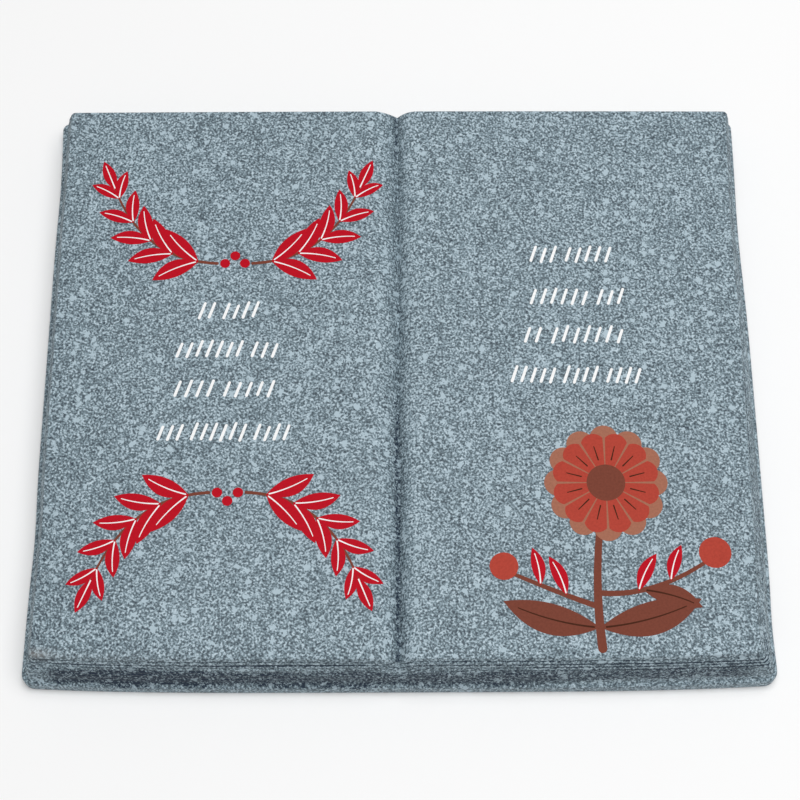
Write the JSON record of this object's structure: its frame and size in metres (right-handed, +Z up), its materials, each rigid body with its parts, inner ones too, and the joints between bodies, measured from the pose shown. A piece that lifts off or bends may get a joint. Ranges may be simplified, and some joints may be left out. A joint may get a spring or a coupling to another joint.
{
  "type": "open-book memorial plaque",
  "caption": "Graveside plaque in the form of an open book: a cover board, fanned leaves, a gutter and flat pages, lying on its flat underside.",
  "frame": {"origin": "on the flat underside, below the middle of the cover board", "axes": "+X to the reader's right along the board's width, +Y away from the reader, +Z up out of the pages"},
  "size_m": [0.2, 0.1732, 0.017],
  "materials": {
    "granite_coating": "matt blue-grey granite-effect coating on cast resin",
    "red_print": "flat printed ink film, satin red",
    "terracotta_print": "flat printed ink film, satin terracotta",
    "brown_print": "flat printed ink film, satin brown",
    "white_print": "flat printed ink film, satin white"
  },
  "bodies": {
    "root": {"open_book_plaque": "granite_coating"}
  },
  "joints": []
}
